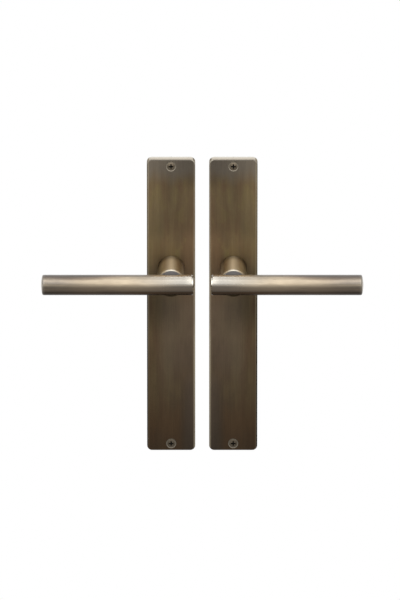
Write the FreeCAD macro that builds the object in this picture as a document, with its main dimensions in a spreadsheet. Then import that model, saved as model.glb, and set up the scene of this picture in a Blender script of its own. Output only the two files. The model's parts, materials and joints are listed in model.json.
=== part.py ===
import FreeCAD, Part
import math
import os
import Sketcher

# A pair of door levers on long backplates, left and right, as they are fixed to a door.
# Millimetres. X runs to the right, Z up, and Y into the door.
# The origin is on the left spindle's axis, in the plane of the door's surface, so every
# piece in front of the door has a negative y.
# The left handle is modelled, and the right one is its mirror image.

SIZES = {
    # backplate
    "plate_height": 240,
    "plate_width": 38,
    "plate_thick": 8,
    "plate_corner": 4,
    "plate_edge": 0.7,
    "plate_top_height": 89.7,
    "pair_gap": 11,
    "front_wall": 3,
    "pocket_radius": 16.2,
    # lever
    "neck_diameter": 21,
    "neck_front_diameter": 22.2,
    "neck_reach": 38.6,
    "neck_chamfer": 0.9,
    "bar_diameter": 16,
    "bar_length": 120,
    "bar_tail": 18.2,
    "bar_end_round": 1.4,
    "bar_end_dome": 30,
    "saddle_depth": 4.1,
    # bearing and retention
    "lip_gap": 0.15,
    "lip_depth": 1,
    "bush_wall": 1.6,
    "bush_flange": 3,
    "bush_flange_thick": 1,
    "washer_diameter": 25,
    "washer_thick": 0.5,
    "tail_diameter": 17,
    "tail_flats": 14,
    "circlip_thick": 1,
    "circlip_width": 2.6,
    "circlip_opening": 60,
    "circlip_hole": 1,
    "circlip_hole_turn": 10,
    "groove_depth": 0.6,
    # return cam, stop and spring
    "cam_diameter": 26,
    "cam_thick": 0.9,
    "cam_step": 2.7,
    "notch_depth": 1.3,
    "stop_diameter": 2.5,
    "turn_range": 50,
    "wire_diameter": 1.3,
    "spring_diameter": 29.4,
    "spring_turns": 1.25,
    "spring_pitch": 1.72,
    "spring_bend": 1.6,
    "leg_outside": 18.6,
    "leg_inside": 12,
    # cover plate at the back
    "cover_width": 35,
    "cover_height": 56,
    "cover_thick": 1.2,
    "cover_sunk": 0.2,
    "cover_corner": 4,
    "cover_bore": 13,
    "cover_screw_spread": 46,
    "cover_screw_diameter": 2.5,
    "cover_screw_head": 4.4,
    "cover_screw_length": 5.4,
    # spindle and its set screw
    "spindle_width": 8,
    "spindle_length": 100,
    "spindle_edge": 1,
    "socket_depth": 25,
    "socket_end_room": 0.5,
    "grub_diameter": 5,
    "grub_length": 6,
    "grub_from_plate": 7,
    "grub_hex": 2.5,
    "grub_hex_depth": 2.5,
    # screw that holds the bar on the neck
    "bar_screw_diameter": 4,
    "bar_screw_length": 20,
    "bar_screw_head": 7,
    "bar_screw_head_height": 4,
    "bar_screw_hex": 3,
    "bar_screw_hex_depth": 2,
    # screws into the door
    "door_screw_inset": 5.6,
    "door_screw_thread": 3.6,
    "door_screw_shank": 4.2,
    "door_screw_head": 8,
    "door_screw_rise": 0.5,
    "door_screw_length": 25,
    "door_screw_tip": 5,
    # cross recesses, each a share of its screw's head
    "cross_reach": 0.28,
    "cross_width": 0.09,
    "cross_depth": 0.25,
    # clearances
    "running_gap": 0.05,
    "seat_gap": 0.02,
    "screw_gap": 0.1,
    "stop_gap": 0.1,
    "thread_room": 0.5,
}

doc = FreeCAD.newDocument("door_lever_pair")
sheet = doc.addObject("Spreadsheet::Sheet", "sizes")
for row, (alias, number) in enumerate(SIZES.items(), start=1):
    sheet.set(f"A{row}", alias)
    sheet.set(f"B{row}", str(number))
    sheet.setAlias(f"B{row}", alias)
doc.recompute()

# Places along the depth, from the lever's front to the door.
NECK_FACE = "-(sizes.plate_thick + sizes.neck_reach)"
BAR_RADIUS = "(sizes.bar_diameter / 2)"
BAR_AXIS = f"({NECK_FACE} - {BAR_RADIUS} + sizes.saddle_depth)"
PLATE_FACE = "-sizes.plate_thick"
LIP_REAR = "-(sizes.plate_thick - sizes.lip_depth)"
POCKET_FLOOR = "-(sizes.plate_thick - sizes.front_wall)"
FLANGE_REAR = f"({POCKET_FLOOR} + sizes.bush_flange_thick)"
WASHER_FRONT = f"({FLANGE_REAR} + sizes.running_gap)"
WASHER_REAR = f"({WASHER_FRONT} + sizes.washer_thick)"
CIRCLIP_REAR = f"({WASHER_REAR} + sizes.circlip_thick)"
GROOVE_REAR = f"({CIRCLIP_REAR} + sizes.running_gap)"
CAM_REAR = f"({GROOVE_REAR} + sizes.cam_thick)"
COVER_FRONT = "-(sizes.cover_sunk + sizes.cover_thick)"
COVER_REAR = "-sizes.cover_sunk"
COVER_SCREW_TIP = f"({COVER_REAR} - sizes.cover_screw_length)"
NECK_REAR = f"({COVER_FRONT} - sizes.running_gap)"
SOCKET_END = "-sizes.socket_depth"
HEAD_SEAT = f"({SOCKET_END} - sizes.bar_screw_head_height)"
BAR_SCREW_TIP = f"({HEAD_SEAT} - sizes.bar_screw_length)"
GRUB_AXIS = f"({PLATE_FACE} - sizes.grub_from_plate)"

# Radii that neighbouring pieces share.
NECK_RADIUS = "(sizes.neck_diameter / 2)"
NECK_FRONT = "(sizes.neck_front_diameter / 2)"
BUSH_BORE = f"({NECK_RADIUS} + sizes.running_gap)"
BUSH_RADIUS = f"({BUSH_BORE} + sizes.bush_wall)"
TAIL_RADIUS = "(sizes.tail_diameter / 2)"
GROOVE_RADIUS = f"({TAIL_RADIUS} - sizes.groove_depth)"
CIRCLIP_RADIUS = f"({GROOVE_RADIUS} + sizes.seat_gap + sizes.circlip_width)"
CAM_RADIUS = "(sizes.cam_diameter / 2)"
STOP_RADIUS = "(sizes.stop_diameter / 2)"
STOP_REACH = f"({CAM_RADIUS} - sizes.cam_step + sizes.stop_gap + {STOP_RADIUS})"
DOOR_HEAD = "(sizes.door_screw_head / 2)"
COVER_HEAD = "(sizes.cover_screw_head / 2)"

# Angles seen from the front, anticlockwise from +X. The spring's fixed leg points up, and
# the stop stands to one side of it, so that the cam's step stays centred at the top.
SPRING_START = 90
STOP_ANGLE = f"({SPRING_START} + sizes.turn_range / 2)"
STOP_SPAN = f"asin(({STOP_RADIUS} + sizes.stop_gap) / {STOP_REACH}) / 1deg"
NOTCH_ANGLE = f"({SPRING_START} + 360 * sizes.spring_turns)"

PLATE_TOP = "sizes.plate_top_height"
PLATE_BOTTOM = "(sizes.plate_top_height - sizes.plate_height)"
DOOR_SCREW_HEIGHTS = {
    "upper": f"({PLATE_TOP} - sizes.door_screw_inset)",
    "lower": f"({PLATE_BOTTOM} + sizes.door_screw_inset)",
}
COVER_SCREW_HEIGHTS = {
    "upper": "sizes.cover_screw_spread / 2",
    "lower": "-sizes.cover_screw_spread / 2",
}


def size(expression):
    """The value that an expression of the sheet's sizes has now."""
    value = sheet.evalExpression(str(expression).replace("sizes.", ""))
    return float(getattr(value, "Value", value))


def new_body(label):
    body = doc.addObject("PartDesign::Body", label)
    body.AllowCompound = True
    return body


def new_sketch(body, name, role, place=("0", "0", "0"), turn=None):
    """A sketch on one of the body's origin planes, moved by place and turned about its own y."""
    sketch = body.newObject("Sketcher::SketchObject", name)
    support = next(f for f in body.Origin.OriginFeatures if f.Role == role)
    sketch.AttachmentSupport = [(support, "")]
    sketch.MapMode = "FlatFace"
    if turn is not None:
        about_y = FreeCAD.Rotation(FreeCAD.Vector(0, 1, 0), 1)
        sketch.AttachmentOffset = FreeCAD.Placement(FreeCAD.Vector(), about_y)
        sketch.setExpression("AttachmentOffset.Rotation.Angle", str(turn))
    for axis, distance in zip("xyz", place):
        if distance != "0":
            sketch.setExpression(f"AttachmentOffset.Base.{axis}", distance)
    return sketch


def rounded_edge(start, end, radius):
    """An arc from start to end that bulges out of an outline drawn anticlockwise."""
    chord = end - start
    left = FreeCAD.Vector(-chord.y, chord.x, 0).normalize()
    height = math.sqrt(max(radius**2 - (chord.Length / 2) ** 2, 0))
    centre = (start + end) / 2 + left * height
    circle = Part.Circle(centre, FreeCAD.Vector(0, 0, 1), radius)
    angles = [math.atan2(p.y - centre.y, p.x - centre.x) for p in (start, end)]
    return Part.ArcOfCircle(circle, angles[0], angles[1])


def hold(sketch, kind, edge, expression):
    """Fix the x or y of an edge's first point at an expression of the sizes."""
    value = size(expression)
    if value == 0:
        axis = -2 if kind == "DistanceX" else -1
        sketch.addConstraint(Sketcher.Constraint("PointOnObject", edge, 1, axis))
        return
    held = sketch.addConstraint(Sketcher.Constraint(kind, -1, 1, edge, 1, value))
    sketch.setExpression(f"Constraints[{held}]", expression)


def draw_outline(sketch, corners):
    """A closed outline, drawn anticlockwise. A corner with a third value starts an arc of that radius."""
    points = [FreeCAD.Vector(size(c[0]), size(c[1]), 0) for c in corners]
    for index, corner in enumerate(corners):
        start, end = points[index], points[(index + 1) % len(corners)]
        if len(corner) == 3:
            sketch.addGeometry(rounded_edge(start, end, size(corner[2])))
        else:
            sketch.addGeometry(Part.LineSegment(start, end))
    for index, corner in enumerate(corners):
        following = (index + 1) % len(corners)
        sketch.addConstraint(Sketcher.Constraint("Coincident", index, 2, following, 1))
    for index, corner in enumerate(corners):
        hold(sketch, "DistanceX", index, corner[0])
        hold(sketch, "DistanceY", index, corner[1])
        if len(corner) == 3:
            radius = Sketcher.Constraint("Radius", index, size(corner[2]))
            held = sketch.addConstraint(radius)
            sketch.setExpression(f"Constraints[{held}]", corner[2])


def draw_circle(sketch, radius):
    """A circle about the sketch's origin."""
    circle = Part.Circle(FreeCAD.Vector(), FreeCAD.Vector(0, 0, 1), size(radius))
    sketch.addGeometry(circle)
    sketch.addConstraint(Sketcher.Constraint("Coincident", 0, 3, -1, 1))
    held = sketch.addConstraint(Sketcher.Constraint("Radius", 0, size(radius)))
    sketch.setExpression(f"Constraints[{held}]", radius)


def finish_feature(body, feature, cut):
    """Recompute, make the feature the body's last one, and check that a cut took something away."""
    before = body.Shape.Volume if cut else 0
    body.Tip = feature
    doc.recompute()
    if cut and not feature.Shape.Volume < before:
        raise RuntimeError(f"{feature.Name} cuts nothing from {body.Name}")
    return feature


def turned(body, name, corners, axis=("0", "0"), cut=False, end=None, span=None):
    """Turn a profile of (radius, y) points about a line along Y at axis, given as (x, z).

    With end and span it turns through span degrees only, clockwise from the angle end.
    """
    turn = None if end is None else f"-({end})"
    sketch = new_sketch(body, f"{name}_profile", "XY_Plane", (axis[0], "0", axis[1]), turn)
    draw_outline(sketch, corners)
    feature = body.newObject("PartDesign::Groove" if cut else "PartDesign::Revolution", name)
    feature.Profile = sketch
    feature.ReferenceAxis = (sketch, ["V_Axis"])
    if span is None:
        feature.Angle = 360
    else:
        feature.setExpression("Angle", span)
    return finish_feature(body, feature, cut)


def slab(body, name, corners, front, rear, centre=("0", "0"), cut=False):
    """Stretch an outline of (x, z) points, or a circle's radius, from y = front to y = rear."""
    place = (centre[0], centre[1], f"-({front if cut else rear})")
    sketch = new_sketch(body, f"{name}_outline", "XZ_Plane", place)
    if isinstance(corners, str):
        draw_circle(sketch, corners)
    else:
        draw_outline(sketch, corners)
    feature = body.newObject("PartDesign::Pocket" if cut else "PartDesign::Pad", name)
    feature.Profile = sketch
    feature.setExpression("Length", f"({rear}) - ({front})")
    return finish_feature(body, feature, cut)


def rectangle(left, right, bottom, top):
    return [(left, bottom), (right, bottom), (right, top), (left, top)]


def rounded_rectangle(half_width, bottom, top, radius):
    """Corners of an upright rectangle about x = 0 whose corners are rounded."""
    left, right = f"-({half_width})", f"({half_width})"
    return [
        (f"{left} + {radius}", bottom),
        (f"{right} - {radius}", bottom, radius),
        (right, f"{bottom} + {radius}"),
        (right, f"{top} - {radius}", radius),
        (f"{right} - {radius}", top),
        (f"{left} + {radius}", top, radius),
        (left, f"{top} - {radius}"),
        (left, f"{bottom} + {radius}", radius),
    ]


def cross(head_diameter):
    """Twelve corners of the cross recess in a screw's head."""
    reach = f"sizes.{head_diameter} * sizes.cross_reach"
    half = f"sizes.{head_diameter} * sizes.cross_width"
    far, near = (f"({reach})", f"-({reach})"), (f"({half})", f"-({half})")
    return [
        (far[0], near[1]), (far[0], near[0]), (near[0], near[0]), (near[0], far[0]),
        (near[1], far[0]), (near[1], near[0]), (far[1], near[0]), (far[1], near[1]),
        (near[1], near[1]), (near[1], far[1]), (near[0], far[1]), (near[0], near[1]),
    ]


def hexagon(across_flats):
    """Six corners of a hexagon whose flats stand left and right."""
    side = f"sizes.{across_flats} / 2"
    low = f"(sizes.{across_flats} / (2 * sqrt(3)))"
    point = f"(sizes.{across_flats} / sqrt(3))"
    return [
        (side, f"-{low}"), (side, low), ("0", point),
        (f"-{side}", low), (f"-{side}", f"-{low}"), ("0", f"-{point}"),
    ]


def keyed_outline(gap):
    """The round tail with its two upright flats, larger all round by gap."""
    radius = f"({TAIL_RADIUS} + {gap})"
    flat = f"(sizes.tail_flats / 2 + {gap})"
    corner = f"sqrt({radius}^2 - {flat}^2)"
    return [
        (flat, f"-{corner}"), (flat, corner, radius),
        (f"-{flat}", corner), (f"-{flat}", f"-{corner}", radius),
    ]


def make_backplate():
    """Solid plate with countersunk fixing holes and a stepped pocket behind the lever."""
    body = new_body("left_backplate")
    outline = rounded_rectangle(
        "sizes.plate_width / 2", PLATE_BOTTOM, PLATE_TOP, "sizes.plate_corner"
    )
    blank = slab(body, "plate_blank", outline, PLATE_FACE, "0")
    front = size(PLATE_FACE)
    rim = [
        f"Edge{number}"
        for number, edge in enumerate(blank.Shape.Edges, start=1)
        if abs(edge.BoundBox.YMax - front) < 1e-6
    ]
    rounding = body.newObject("PartDesign::Fillet", "plate_edge_rounding")
    rounding.Base = (blank, rim)
    rounding.setExpression("Radius", "sizes.plate_edge")
    finish_feature(body, rounding, cut=True)

    lip = f"({NECK_RADIUS} + sizes.lip_gap)"
    seat = f"({BUSH_RADIUS} + sizes.seat_gap)"
    through = f"({PLATE_FACE} - sizes.screw_gap)"
    turned(body, "mechanism_pocket", [
        ("0", through), (lip, through), (lip, LIP_REAR), (seat, LIP_REAR),
        (seat, POCKET_FLOOR), ("sizes.pocket_radius", POCKET_FLOOR),
        ("sizes.pocket_radius", "sizes.screw_gap"), ("0", "sizes.screw_gap"),
    ], cut=True)
    half_height = "(sizes.cover_height / 2 + sizes.screw_gap)"
    recess = rounded_rectangle(
        "sizes.cover_width / 2 + sizes.screw_gap", f"-{half_height}", half_height,
        "sizes.cover_corner",
    )
    slab(body, "cover_recess", recess, COVER_FRONT, "0", cut=True)
    slot = "(sizes.wire_diameter / 2 + sizes.stop_gap)"
    spring_slot = rectangle(
        f"sizes.spring_bend - {slot}", f"sizes.spring_bend + {slot}",
        "sizes.spring_diameter / 2", f"sizes.leg_outside + {slot}",
    )
    slab(body, "spring_slot", spring_slot, POCKET_FLOOR, "0", cut=True)

    shank = "(sizes.door_screw_shank / 2 + sizes.screw_gap)"
    sink = f"({DOOR_HEAD} + sizes.screw_gap)"
    for place, height in DOOR_SCREW_HEIGHTS.items():
        turned(body, f"{place}_door_screw_hole", [
            ("0", PLATE_FACE), (sink, PLATE_FACE),
            (shank, f"{PLATE_FACE} + {sink} - {shank}"), (shank, "0"), ("0", "0"),
        ], axis=("0", height), cut=True)
    thread = "(sizes.cover_screw_diameter / 2 + sizes.seat_gap)"
    thread_end = f"({COVER_SCREW_TIP} - sizes.thread_room)"
    for place, height in COVER_SCREW_HEIGHTS.items():
        turned(body, f"{place}_cover_screw_thread", [
            ("0", thread_end), (thread, thread_end), (thread, COVER_FRONT), ("0", COVER_FRONT),
        ], axis=("0", height), cut=True)
    return body


def make_bush():
    """Flanged bearing that lines the plate's bore from behind."""
    body = new_body("left_neck_bush")
    flange = f"({BUSH_BORE} + sizes.bush_flange)"
    turned(body, "bush", [
        (BUSH_BORE, LIP_REAR), (BUSH_RADIUS, LIP_REAR), (BUSH_RADIUS, POCKET_FLOOR),
        (flange, POCKET_FLOOR), (flange, FLANGE_REAR), (BUSH_BORE, FLANGE_REAR),
    ])
    return body


def make_neck():
    """Round neck, a little wider at its front, with a saddle for the bar and a keyed tail."""
    body = new_body("left_neck")
    shoulder = f"({FLANGE_REAR} - sizes.running_gap)"
    turned(body, "neck_blank", [
        ("0", NECK_FACE), (f"{NECK_FRONT} - sizes.neck_chamfer", NECK_FACE),
        (NECK_FRONT, f"{NECK_FACE} + sizes.neck_chamfer"), (NECK_RADIUS, PLATE_FACE),
        (NECK_RADIUS, shoulder),
        (TAIL_RADIUS, shoulder), (TAIL_RADIUS, WASHER_REAR), (GROOVE_RADIUS, WASHER_REAR),
        (GROOVE_RADIUS, GROOVE_REAR), ("0", GROOVE_REAR),
    ])
    slab(body, "keyed_tail", keyed_outline("0"), GROOVE_REAR, NECK_REAR)

    saddle_sketch = new_sketch(body, "saddle_outline", "YZ_Plane", (BAR_AXIS, "0", "0"))
    draw_circle(saddle_sketch, f"{BAR_RADIUS} + sizes.seat_gap")
    saddle = body.newObject("PartDesign::Pocket", "saddle")
    saddle.Profile = saddle_sketch
    saddle.Midplane = True
    saddle.setExpression("Length", "2 * sizes.neck_diameter")
    finish_feature(body, saddle, cut=True)

    half = "(sizes.spindle_width / 2 + sizes.running_gap)"
    socket = rectangle(f"-{half}", half, f"-{half}", half)
    slab(body, "spindle_socket", socket, SOCKET_END, NECK_REAR, cut=True)
    head = "(sizes.bar_screw_head / 2 + sizes.screw_gap)"
    shank = "(sizes.bar_screw_diameter / 2 + sizes.screw_gap)"
    turned(body, "bar_screw_hole", [
        ("0", NECK_FACE), (shank, NECK_FACE), (shank, HEAD_SEAT), (head, HEAD_SEAT),
        (head, SOCKET_END), ("0", SOCKET_END),
    ], cut=True)

    grub_sketch = new_sketch(body, "grub_hole_profile", "YZ_Plane", (GRUB_AXIS, "0", "0"))
    thread = "sizes.grub_diameter / 2 + sizes.seat_gap"
    draw_outline(grub_sketch, rectangle("0", thread, f"-{NECK_FRONT}", "0"))
    grub_hole = body.newObject("PartDesign::Groove", "grub_hole")
    grub_hole.Profile = grub_sketch
    grub_hole.ReferenceAxis = (grub_sketch, ["V_Axis"])
    grub_hole.Angle = 360
    finish_feature(body, grub_hole, cut=True)
    return body


def make_bar():
    """Round grip with domed ends and a blind thread where it meets the neck."""
    body = new_body("left_lever_bar")
    sketch = new_sketch(body, "bar_profile", "XY_Plane", ("0", BAR_AXIS, "0"))
    far = "(sizes.bar_tail - sizes.bar_length)"
    inner = f"({BAR_RADIUS} - sizes.bar_end_round)"
    centres = "(sizes.bar_end_dome - sizes.bar_end_round)"
    meeting = f"(sizes.bar_end_dome * {inner} / {centres})"
    dome = f"(sizes.bar_end_dome - sqrt(sizes.bar_end_dome^2 - {meeting}^2))"
    rounding = f"(sizes.bar_end_dome - sqrt({centres}^2 - {inner}^2))"
    draw_outline(sketch, [
        (far, "0"), ("sizes.bar_tail", "0", "sizes.bar_end_dome"),
        (f"sizes.bar_tail - {dome}", meeting, "sizes.bar_end_round"),
        (f"sizes.bar_tail - {rounding}", BAR_RADIUS),
        (f"{far} + {rounding}", BAR_RADIUS, "sizes.bar_end_round"),
        (f"{far} + {dome}", meeting, "sizes.bar_end_dome"),
    ])
    bar = body.newObject("PartDesign::Revolution", "bar")
    bar.Profile = sketch
    bar.ReferenceAxis = (sketch, ["H_Axis"])
    bar.Angle = 360
    finish_feature(body, bar, cut=False)
    thread = "sizes.bar_screw_diameter / 2 + sizes.seat_gap"
    thread_end = f"({BAR_SCREW_TIP} - sizes.thread_room)"
    turned(body, "bar_thread", [
        ("0", thread_end), (thread, thread_end), (thread, f"{BAR_AXIS} + {BAR_RADIUS}"),
        ("0", f"{BAR_AXIS} + {BAR_RADIUS}"),
    ], cut=True)
    return body


def make_bar_screw():
    """Socket-head screw inside the neck, reached through the spindle's socket."""
    body = new_body("left_bar_screw")
    head, shank = "sizes.bar_screw_head / 2", "sizes.bar_screw_diameter / 2"
    turned(body, "screw", [
        ("0", BAR_SCREW_TIP), (shank, BAR_SCREW_TIP), (shank, HEAD_SEAT),
        (head, HEAD_SEAT), (head, f"{SOCKET_END} - sizes.seat_gap"),
        ("0", f"{SOCKET_END} - sizes.seat_gap"),
    ])
    slab(body, "hex_socket", hexagon("bar_screw_hex"),
         f"{SOCKET_END} - sizes.bar_screw_hex_depth", SOCKET_END, cut=True)
    return body


def make_grub_screw():
    """Set screw that comes up through the underside of the neck onto the spindle."""
    body = new_body("left_grub_screw")
    top = "-(sizes.spindle_width / 2 + sizes.running_gap)"
    bottom = f"({top} - sizes.grub_length)"
    blank_sketch = new_sketch(body, "grub_profile", "XY_Plane", ("0", GRUB_AXIS, bottom))
    draw_circle(blank_sketch, "sizes.grub_diameter / 2")
    blank = body.newObject("PartDesign::Pad", "grub")
    blank.Profile = blank_sketch
    blank.setExpression("Length", "sizes.grub_length")
    finish_feature(body, blank, cut=False)
    hex_sketch = new_sketch(body, "hex_outline", "XY_Plane", ("0", GRUB_AXIS, bottom))
    draw_outline(hex_sketch, hexagon("grub_hex"))
    hex_socket = body.newObject("PartDesign::Pocket", "hex_socket")
    hex_socket.Profile = hex_sketch
    hex_socket.Reversed = True
    hex_socket.setExpression("Length", "sizes.grub_hex_depth")
    finish_feature(body, hex_socket, cut=True)
    return body


def make_washer():
    """Thrust washer between the bush's flange and the circlip."""
    body = new_body("left_thrust_washer")
    inner, outer = f"({TAIL_RADIUS} + sizes.running_gap)", "sizes.washer_diameter / 2"
    turned(body, "washer", [
        (inner, WASHER_FRONT), (outer, WASHER_FRONT), (outer, WASHER_REAR), (inner, WASHER_REAR),
    ])
    return body


def make_circlip():
    """Open ring in the tail's groove, with a hole for the pliers near each end."""
    body = new_body("left_circlip")
    inner = f"({GROOVE_RADIUS} + sizes.seat_gap)"
    turned(body, "ring", [
        (inner, WASHER_REAR), (CIRCLIP_RADIUS, WASHER_REAR),
        (CIRCLIP_RADIUS, CIRCLIP_REAR), (inner, CIRCLIP_REAR),
    ], end="270 - sizes.circlip_opening / 2", span="360 - sizes.circlip_opening")
    middle = f"({inner} + sizes.circlip_width / 2)"
    lean = "((sizes.circlip_opening / 2 + sizes.circlip_hole_turn) * 1deg)"
    hole = "sizes.circlip_hole / 2"
    for side, sign in (("left", "-"), ("right", "")):
        turned(body, f"{side}_plier_hole", [
            ("0", WASHER_REAR), (hole, WASHER_REAR), (hole, CIRCLIP_REAR), ("0", CIRCLIP_REAR),
        ], axis=(f"{sign}{middle} * sin({lean})", f"-{middle} * cos({lean})"), cut=True)
    return body


def make_cam():
    """Keyed disc that turns with the neck. Its step meets the stop, its notch takes the spring."""
    body = new_body("left_return_cam")
    slab(body, "disc", CAM_RADIUS, GROOVE_REAR, CAM_REAR)
    slab(body, "keyed_hole", keyed_outline("sizes.running_gap"), GROOVE_REAR, CAM_REAR, cut=True)
    step = f"({CAM_RADIUS} - sizes.cam_step)"
    beyond = f"({CAM_RADIUS} + sizes.screw_gap)"
    turned(body, "stop_step", [
        (step, GROOVE_REAR), (beyond, GROOVE_REAR), (beyond, CAM_REAR), (step, CAM_REAR),
    ], cut=True, end=f"{STOP_ANGLE} + {STOP_SPAN}", span=f"sizes.turn_range + 2 * {STOP_SPAN}")
    notch = f"({CAM_RADIUS} - sizes.notch_depth)"
    half = "(sizes.wire_diameter / 2 + sizes.stop_gap)"
    reach = f"({CAM_RADIUS} - sizes.notch_depth / 2)"
    lean = f"asin(sizes.spring_bend / {reach}) / 1deg"
    width = f"2 * atan({half} / {notch}) / 1deg"
    turned(body, "spring_notch", [
        (notch, GROOVE_REAR), (beyond, GROOVE_REAR), (beyond, CAM_REAR), (notch, CAM_REAR),
    ], cut=True, end=f"{NOTCH_ANGLE} + {lean} + ({width}) / 2", span=width)
    return body


def stop_place():
    """Where the stop pin stands, as (x, z)."""
    return f"{STOP_REACH} * cos({STOP_ANGLE} * 1deg)", f"{STOP_REACH} * sin({STOP_ANGLE} * 1deg)"


def make_stop_pin():
    """Pin riveted in the cover plate, which the cam's step meets at both ends of the turn."""
    body = new_body("left_stop_pin")
    rear = f"({COVER_REAR} - sizes.screw_gap)"
    turned(body, "pin", [
        ("0", GROOVE_REAR), (STOP_RADIUS, GROOVE_REAR), (STOP_RADIUS, rear), ("0", rear),
    ], axis=stop_place())
    return body


def make_cover():
    """Steel plate that closes the pocket and carries the stop."""
    body = new_body("left_cover_plate")
    half_height = "sizes.cover_height / 2"
    outline = rounded_rectangle(
        "sizes.cover_width / 2", f"-{half_height}", half_height, "sizes.cover_corner"
    )
    slab(body, "cover_blank", outline, COVER_FRONT, COVER_REAR)
    slab(body, "spindle_bore", "sizes.cover_bore / 2", COVER_FRONT, COVER_REAR, cut=True)
    slab(body, "stop_pin_hole", f"{STOP_RADIUS} + sizes.seat_gap", COVER_FRONT, COVER_REAR,
         centre=stop_place(), cut=True)
    shank = "(sizes.cover_screw_diameter / 2 + sizes.screw_gap)"
    sink = f"({COVER_HEAD} + sizes.screw_gap)"
    for place, height in COVER_SCREW_HEIGHTS.items():
        turned(body, f"{place}_screw_hole", [
            ("0", COVER_FRONT), (shank, COVER_FRONT),
            (shank, f"{COVER_REAR} - {sink} + {shank}"), (sink, COVER_REAR), ("0", COVER_REAR),
        ], axis=("0", height), cut=True)
    return body


def make_cover_screws():
    """Two countersunk machine screws that hold the cover."""
    body = new_body("left_cover_screws")
    shank = "sizes.cover_screw_diameter / 2"
    for place, height in COVER_SCREW_HEIGHTS.items():
        turned(body, f"{place}_screw", [
            ("0", COVER_SCREW_TIP), (shank, COVER_SCREW_TIP),
            (shank, f"{COVER_REAR} - {COVER_HEAD} + {shank}"), (COVER_HEAD, COVER_REAR),
            ("0", COVER_REAR),
        ], axis=("0", height))
        slab(body, f"{place}_cross", cross("cover_screw_head"),
             f"{COVER_REAR} - sizes.cover_screw_head * sizes.cross_depth", COVER_REAR,
             centre=("0", height), cut=True)
    return body


def make_door_screws():
    """Two raised countersunk wood screws, one near each end of the backplate."""
    body = new_body("left_door_screws")
    shank, thread = "sizes.door_screw_shank / 2", "sizes.door_screw_thread / 2"
    end = f"({PLATE_FACE} + sizes.door_screw_length)"
    crown = f"({PLATE_FACE} - sizes.door_screw_rise)"
    dome = f"({DOOR_HEAD}^2 + sizes.door_screw_rise^2) / (2 * sizes.door_screw_rise)"
    for place, height in DOOR_SCREW_HEIGHTS.items():
        turned(body, f"{place}_screw", [
            ("0", crown, dome), (DOOR_HEAD, PLATE_FACE),
            (shank, f"{PLATE_FACE} + {DOOR_HEAD} - {shank}"), (shank, "0"), (thread, "0"),
            (thread, f"{end} - sizes.door_screw_tip"), ("0", end),
        ], axis=("0", height))
        slab(body, f"{place}_cross", cross("door_screw_head"), crown,
             f"{crown} + sizes.door_screw_head * sizes.cross_depth",
             centre=("0", height), cut=True)
    return body


def make_spindle():
    """Square bar that joins the two levers through the lock, held here in the left neck."""
    body = new_body("spindle")
    half = "sizes.spindle_width / 2"
    front = f"({SOCKET_END} + sizes.socket_end_room)"
    rear = f"({front} + sizes.spindle_length)"
    blank = slab(body, "square_bar", rectangle(f"-{half}", half, f"-{half}", half), front, rear)
    ends = [
        f"Edge{number}"
        for number, edge in enumerate(blank.Shape.Edges, start=1)
        if edge.BoundBox.YLength < 1e-6
    ]
    bevel = body.newObject("PartDesign::Chamfer", "bevelled_ends")
    bevel.Base = (blank, ends)
    bevel.setExpression("Size", "sizes.spindle_edge")
    finish_feature(body, bevel, cut=True)
    return body


def arc_at_corner(start, corner, end):
    """The arc that touches the line start to corner at start and the line corner to end at end."""
    middle = (start + end) / 2
    half_chord = (end - start).Length / 2
    rise = (corner - middle).Length
    bulge = half_chord * math.tan(math.atan2(rise, half_chord) / 2)
    return Part.Arc(start, middle + (corner - middle) * (bulge / rise), end).toShape()


def smooth_pair(start, heading, end, end_heading):
    """Two arcs that leave start along heading, reach end along end_heading and meet smoothly."""
    span = end - start
    along = span.dot(heading + end_heading)
    turn = 2 * (1 - heading.dot(end_heading))
    reach = (math.sqrt(along**2 + turn * span.dot(span)) - along) / turn
    first, second = start + heading * reach, end - end_heading * reach
    meeting = (first + second) / 2
    return [arc_at_corner(start, first, meeting), arc_at_corner(meeting, second, end)]


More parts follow.
